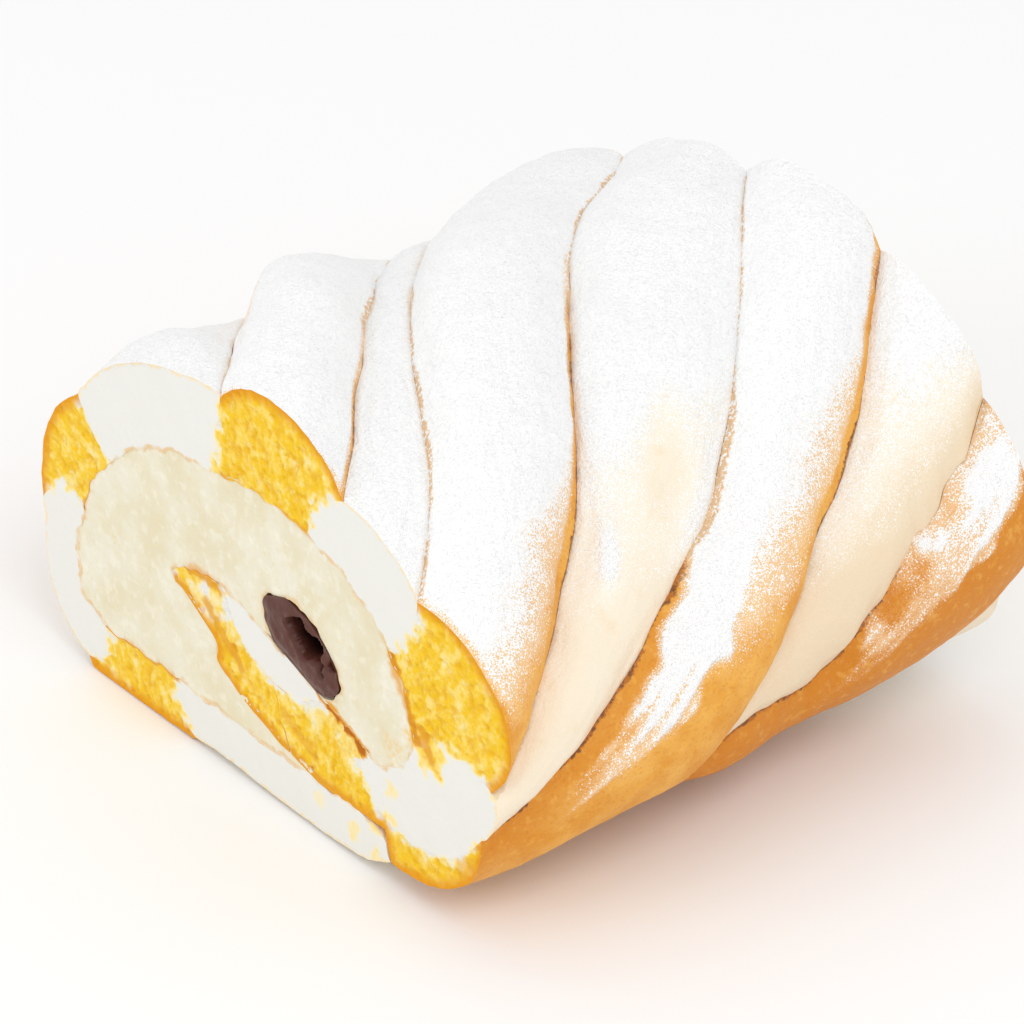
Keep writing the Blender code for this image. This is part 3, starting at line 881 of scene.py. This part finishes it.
def cream_ring(x):
    """Outline of the cream at stations x: inside the sheet, over the core and round the flap."""
    core_y, core_z = core_ring(x)
    _, lift = turned(core_y - CORE_CENTRE[0], core_z - CORE_CENTRE[1], -CORE_TILT)
    over = lift[0] > CORE_FOOT + 0.05
    first = int(np.flatnonzero(~over)[-1]) + 1
    order = (first + np.arange(CORE_SIDES)) % CORE_SIDES
    order = order[over[order]]
    order = order[::-1] if core_y[0, order[0]] > core_y[0, order[-1]] else order

    def skin(start, end):
        distance = np.linspace(start, end, int(abs(end - start) / SKIN_FACET) + 1)
        return section.point(distance, CREAM_LAP)

    front = skin(CREAM_FROM, CORE_ON_SKIN[0])
    behind = skin(CORE_ON_SKIN[1], section.length)
    distance = np.linspace(section.length, CREAM_TO, 46)
    under = section.inside_sheet(x[:, None], section.to_outer(distance), 1.0, -CREAM_UNDER_LAP)
    outline = []
    for axis, core in enumerate((core_y, core_z)):
        parts = [np.broadcast_to(part[axis], (len(x), part[axis].shape[-1]))
                 for part in (front, behind, under)]
        outline.append(np.concatenate([parts[0], core[:, order], *parts[1:]], axis=1))
    return outline


def cream_cut(points, from_edge, end):
    """How deep the cream's cut lies at each point, and what is seen there."""
    nothing = np.zeros(len(points))
    deep, _, _ = cut_relief("cream", points, nothing, nothing, from_edge, 60 + end)
    return deep, {"skin": from_edge, **knife_marks(points, end)}


def build_cream(materials):
    """The cream between the layers, cut a little deeper than they are."""
    half = LENGTH / 2 - CREAM_SET_BACK
    x = np.linspace(-half, half, INNER_STATIONS)
    rings = torn(lifted(x[:, None], *cream_ring(x)), 1.0)
    attributes = {key: np.zeros(rings.shape[:2]) for key in ("skin", "brown", "smear")}
    cuts = filled_cuts(rings, CUT_FACET, 60, cream_cut)
    piece = make_piece("cream", rings, cuts, attributes, (), materials)
    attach(piece, "root")
    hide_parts("cream_filling")


class Value:
    """A number that a material works out, which can be reckoned with like any other."""

    def __init__(self, shader, socket):
        self.shader = shader
        self.socket = socket

    def __add__(self, other):
        return self.shader.math("ADD", self, other)

    def __sub__(self, other):
        return self.shader.math("SUBTRACT", self, other)

    def __rsub__(self, other):
        return self.shader.math("SUBTRACT", other, self)

    def __mul__(self, other):
        return self.shader.math("MULTIPLY", self, other)

    def most(self, other):
        return self.shader.math("MAXIMUM", self, other)

    def ramp(self, low, high):
        """0 where it is low or less, 1 where it is high or more."""
        node = self.shader.tree.nodes.new("ShaderNodeMapRange")
        node.interpolation_type = "SMOOTHSTEP"
        self.shader.connect(self, node.inputs["Value"])
        node.inputs["From Min"].default_value = low
        node.inputs["From Max"].default_value = high
        return Value(self.shader, node.outputs[0])


class Shader:
    """A Principled material's node tree, built up by short calls."""

    def __init__(self, name, **constants):
        self.material = bpy.data.materials.new(name)
        self.material.use_nodes = True
        self.tree = self.material.node_tree
        self.surface = self.tree.nodes["Principled BSDF"]
        for socket, value in constants.items():
            self.surface.inputs[socket.replace("_", " ")].default_value = value
        self.place = Value(self, self.tree.nodes.new("ShaderNodeTexCoord").outputs["Object"])

    def connect(self, value, socket):
        if isinstance(value, Value):
            self.tree.links.new(value.socket, socket)
        else:
            socket.default_value = value

    def attribute(self, name):
        node = self.tree.nodes.new("ShaderNodeAttribute")
        node.attribute_name = name
        return Value(self, node.outputs["Fac"])

    def noise(self, size, detail=2.0):
        """Noise with lumps of a size in millimetres, about 0 to 1."""
        node = self.tree.nodes.new("ShaderNodeTexNoise")
        self.connect(self.place, node.inputs["Vector"])
        node.inputs["Scale"].default_value = 1 / (size * MM)
        node.inputs["Detail"].default_value = detail
        return Value(self, node.outputs["Fac"])

    def wander(self, size, reach, detail=2.0):
        """Noise that goes up to half its reach either way from 0."""
        return (self.noise(size, detail) - 0.5) * reach

    def math(self, operation, one, two):
        node = self.tree.nodes.new("ShaderNodeMath")
        node.operation = operation
        self.connect(one, node.inputs[0])
        self.connect(two, node.inputs[1])
        return Value(self, node.outputs[0])

    def mix(self, share, one, two):
        node = self.tree.nodes.new("ShaderNodeMix")
        node.data_type = "RGBA"
        self.connect(share, node.inputs["Factor"])
        self.connect(colour(one), node.inputs["A"])
        self.connect(colour(two), node.inputs["B"])
        return Value(self, node.outputs["Result"])

    def layers(self, base, *over):
        """Colours laid one over another, each given as (share, colour)."""
        for share, laid in over:
            base = self.mix(share, base, laid)
        return base

    def bump(self, height, depth):
        """Bump of a depth in millimetres."""
        node = self.tree.nodes.new("ShaderNodeBump")
        self.connect(height, node.inputs["Height"])
        node.inputs["Distance"].default_value = depth * MM
        self.connect(Value(self, node.outputs["Normal"]), self.surface.inputs["Normal"])

    def paint(self, value):
        self.connect(value, self.surface.inputs["Base Color"])

    def roughness(self, value):
        self.connect(value, self.surface.inputs["Roughness"])


def colour(value):
    """Linear colour from an sRGB triple of 0 to 255; a value worked out is passed on."""
    if isinstance(value, Value):
        return value
    share = np.array(value) / 255
    linear = np.where(share <= 0.04045, share / 12.92, ((share + 0.055) / 1.055) ** 2.4)
    return (*linear, 1.0)


SUGAR = (253, 253, 252)
SUGAR_SHADE = (246, 246, 246)
# Grey dots of painted shade, standing for the shade among the sugar's grains
SUGAR_PAINTED_SHADE_DOTS = (230, 231, 233)


def sugared(shader, baked, veiled, seam):
    """Icing sugar over a baked colour: whole where it lies thick, fine grains where it thins, with grey
    dots of painted shade among the grains.
    """
    amount = shader.attribute("sugar")
    veil = shader.attribute("veil")
    grains = shader.noise(0.26, 1.0)
    speckle = (grains - 0.5) * 3.4
    spread = amount + (shader.wander(1.1, 1.0) + speckle) * veil.ramp(0.0, 0.30)
    baked = shader.mix((veil + speckle * 0.25).ramp(0.05, 0.70) * 0.80, baked, veiled)
    cover = spread.ramp(0.42, 0.72).most(amount.ramp(0.75, 1.0))
    cover = cover * (1.0 - seam * shader.noise(0.6, 1.0).ramp(0.36, 0.52))
    # the grey dots laid over the sugar are painted shade among its grains
    white = shader.layers(SUGAR_SHADE, (shader.noise(2.6, 3.0), SUGAR),
                          (shader.noise(0.42, 1.0).ramp(0.56, 0.70) * 0.55, SUGAR_PAINTED_SHADE_DOTS))
    shader.paint(shader.mix(cover, baked, white))
    shader.roughness(cover * 0.40 + 0.52)
    shader.bump((grains + shader.noise(0.7) * 1.6) * (amount * 0.6 + 0.2), 0.30)


def seam_line(shader, width):
    """1 along a rope's edges, where the crust breaks through in places, and 0 elsewhere."""
    near = shader.attribute("wall") + shader.wander(0.8, 1.6, 3.0) + shader.wander(9.0, 3.0, 1.0)
    return 1.0 - (near + 0.05).ramp(width * 0.4, width)


def sponge_outside():
    """Golden crust, amber where it is baked most, with dark dots in its seams."""
    shader = Shader("golden_crust", Roughness=0.55, Specular_IOR_Level=0.4)
    freckle = shader.noise(0.55).ramp(0.50, 0.72)
    pale = shader.noise(1.3, 3.0).ramp(0.52, 0.72)
    seam = seam_line(shader, 0.65)
    dots = seam * shader.noise(0.9).ramp(0.48, 0.58)
    base = shader.layers((224, 150, 34), (shader.noise(7.0).ramp(0.3, 0.7), (237, 176, 74)),
                         (shader.attribute("baked"), (208, 126, 8)),
                         (freckle * 0.35, (200, 112, 8)), (pale * 0.35, (242, 188, 92)),
                         (seam * 0.85, (168, 92, 20)), (dots * 0.8, (104, 62, 30)))
    sugared(shader, base, (243, 208, 164), seam)
    return shader.material


def meringue_outside():
    """Cream-coloured meringue, toasted in patches, with a darker patch of painted shade on rope 10."""
    shader = Shader("baked_meringue", Roughness=0.55, Specular_IOR_Level=0.35)
    toasted = shader.noise(4.0, 3.0).ramp(0.55, 0.80)
    seam = seam_line(shader, 0.35)
    base = shader.layers((240, 224, 198), (shader.noise(9.0, 3.0), (245, 234, 214)),
                         (toasted * 0.5, (238, 214, 176)),
                         # the darker patch on rope 10 is painted shade
                         (shader.attribute("baked"), (232, 208, 172)),
                         (seam * 0.5, (222, 184, 128)))
    sugared(shader, base, (247, 240, 226), seam * 0.6)
    return shader.material


def doughs(shader, side):
    """The cut's colour where sponge (side 1) and meringue (side -1) run into each other."""
    place = shader.attribute("wall") * side + shader.wander(2.4, 7.0, 4.0)
    smear = shader.attribute("smear")
    yellow = place.ramp(-0.9, 1.9).most(smear) - (smear * -0.75).most(0.0)
    yellow = yellow - shader.noise(3.0, 3.0).ramp(0.47, 0.70) * 0.42
    spots = shader.wander(0.7, 0.9)
    grain = (shader.attribute("streak") - 0.5) * 0.55
    for change in (spots, grain):
        yellow = yellow + change * yellow.ramp(0, 1)
    deep = shader.attribute("pore") * yellow.ramp(0.3, 0.9)
    return shader.layers((228, 227, 221), (yellow.ramp(0.0, 0.45), (242, 227, 176)),
                         (yellow.ramp(0.25, 0.75), (243, 212, 102)),
                         (yellow.ramp(0.65, 1.15), (238, 193, 32)),
                         (deep * 0.55, (228, 168, 14)))


def skin_line(shader, far, low, high):
    """A thin broken line along the layers' skin, far being the distance to it."""
    return (1.0 - far.ramp(low, high)) * shader.noise(3.2).ramp(0.36, 0.58)


def browned(shader, base, rim_depth, rim_colour, line_colour):
    """The cut's baked rim, the thin broken line at its skin and its brown streaks."""
    wander = shader.wander(1.4, 1.8)
    rim = 1.0 - (shader.attribute("rim") + wander).ramp(0.0, rim_depth)
    skin = shader.attribute("skin") + wander * 0.7
    brown = shader.attribute("brown")
    return shader.layers(base, (rim, rim_colour),
                         (skin_line(shader, skin, 0.10, 0.65) * 0.8, line_colour),
                         (brown.ramp(0.0, 0.7), (222, 156, 34)),
                         (brown.ramp(0.7, 1.0), (182, 102, 16)))


def sponge_cut():
    shader = Shader("yellow_crumb", Roughness=0.8, Specular_IOR_Level=0.25)
    shader.paint(browned(shader, doughs(shader, 1.0), 2.5, (224, 150, 14), (216, 150, 44)))
    shader.bump(shader.noise(0.40), 0.16)
    return shader.material


def meringue_cut():
    shader = Shader("white_meringue", Roughness=0.65, Specular_IOR_Level=0.3)
    shader.paint(browned(shader, doughs(shader, -1.0), 0.6, (238, 218, 178), (224, 186, 124)))
    shader.bump(shader.noise(0.7), 0.05)
    return shader.material


def cream_material():
    """Ivory cream, mottled, with flecks of crumb and a thin brown line at its skin."""
    shader = Shader("ivory_cream", Roughness=0.6, Specular_IOR_Level=0.3)
    fleck = shader.noise(0.8, 3.0).ramp(0.52, 0.74)
    light = shader.noise(1.7).ramp(0.50, 0.70)
    smear = shader.attribute("smear") * shader.noise(0.8).ramp(0.30, 0.60)
    skin = shader.attribute("skin") + shader.wander(1.5, 1.6)
    shader.paint(shader.layers(
        (223, 213, 182), (shader.noise(8.0, 3.0).ramp(0.3, 0.7), (230, 225, 206)),
        (fleck * 0.45, (226, 208, 158)), (light * 0.45, (238, 234, 218)),
        (smear, (234, 190, 84)), (skin_line(shader, skin, 0.25, 0.9) * 0.6, (222, 180, 112)),
        (shader.attribute("brown"), (222, 158, 44))))
    shader.bump(shader.noise(0.6), 0.08)
    return shader.material


def paste_material():
    """Dark paste, glossier in its hollow, where shade is painted on as near-black."""
    shader = Shader("dark_paste", Specular_IOR_Level=0.25, Coat_Weight=0.15, Coat_Roughness=0.12)
    hollow = shader.attribute("hollow")
    # the near-black in the hollow is painted shade of the recess
    shader.paint(shader.layers((78, 38, 29), (shader.noise(2.0, 3.0), (93, 50, 38)),
                               (hollow.ramp(0.1, 0.7), (16, 6, 5))))
    shader.roughness(hollow * -0.28 + 0.48)
    shader.bump(shader.noise(0.8), 0.12)
    return shader.material


def build_floor():
    size = 3.0
    mesh = bpy.data.meshes.new("floor")
    corners = [(-size, -size), (size, -size), (size, size), (-size, size)]
    mesh.from_pydata([(x, y, -0.0002) for x, y in corners], [], [(0, 1, 2, 3)])
    floor = bpy.data.objects.new("floor", mesh)
    bpy.context.scene.collection.objects.link(floor)
    shader = Shader("pale_floor", Roughness=0.9, Specular_IOR_Level=0.1)
    shader.paint(colour((246, 246, 246)))
    mesh.materials.append(shader.material)


def aimed(name, data, place, target):
    """A lamp or camera at a place, looking at a target."""
    made = bpy.data.objects.new(name, data)
    made.location = place
    made.rotation_euler = (Vector(target) - Vector(place)).to_track_quat("-Z", "Y").to_euler()
    bpy.context.scene.collection.objects.link(made)
    return made


def build_studio():
    """White surroundings and soft lamps."""
    world = bpy.data.worlds.new("studio")
    world.use_nodes = True
    background = world.node_tree.nodes["Background"]
    background.inputs["Color"].default_value = (1.0, 1.0, 1.0, 1.0)
    background.inputs["Strength"].default_value = 0.91
    bpy.context.scene.world = world
    for name, place, power in (("key", (-0.25, -0.75, 0.95), 2.7), ("side", (-0.95, 0.15, 0.45), 1.6)):
        lamp = bpy.data.lights.new(name, "AREA")
        lamp.shape = "DISK"
        lamp.size = 0.6
        lamp.energy = power
        aimed(name, lamp, place, (0.0, 0.0, 0.03))


AZIMUTH = 39.5             # the camera stands this far round from -Y towards -X
ELEVATION = 32.0
CAMERA_DISTANCE = 840.0
AIM = (6.1, 10.3, 21.5)
LENS = 191.84


def build_camera():
    turn, tilt = math.radians(AZIMUTH), math.radians(ELEVATION)
    back = Vector((-math.sin(turn) * math.cos(tilt), -math.cos(turn) * math.cos(tilt),
                   math.sin(tilt)))
    lens = bpy.data.cameras.new("camera")
    lens.sensor_width = 36.0
    lens.lens = LENS
    place = (Vector(AIM) + back * CAMERA_DISTANCE) * MM
    bpy.context.scene.camera = aimed("camera", lens, place, Vector(AIM) * MM)


build_camera()
build_studio()
build_floor()
bpy.context.scene.view_settings.view_transform = "Standard"

sponge_materials = (sponge_outside(), sponge_cut())
meringue_materials = (meringue_outside(), meringue_cut())
for rope in range(len(CROWNS)):
    build_rope(rope, sponge_materials if rope % 2 else meringue_materials)
build_core((paste_material(),))
build_cream((cream_material(),))
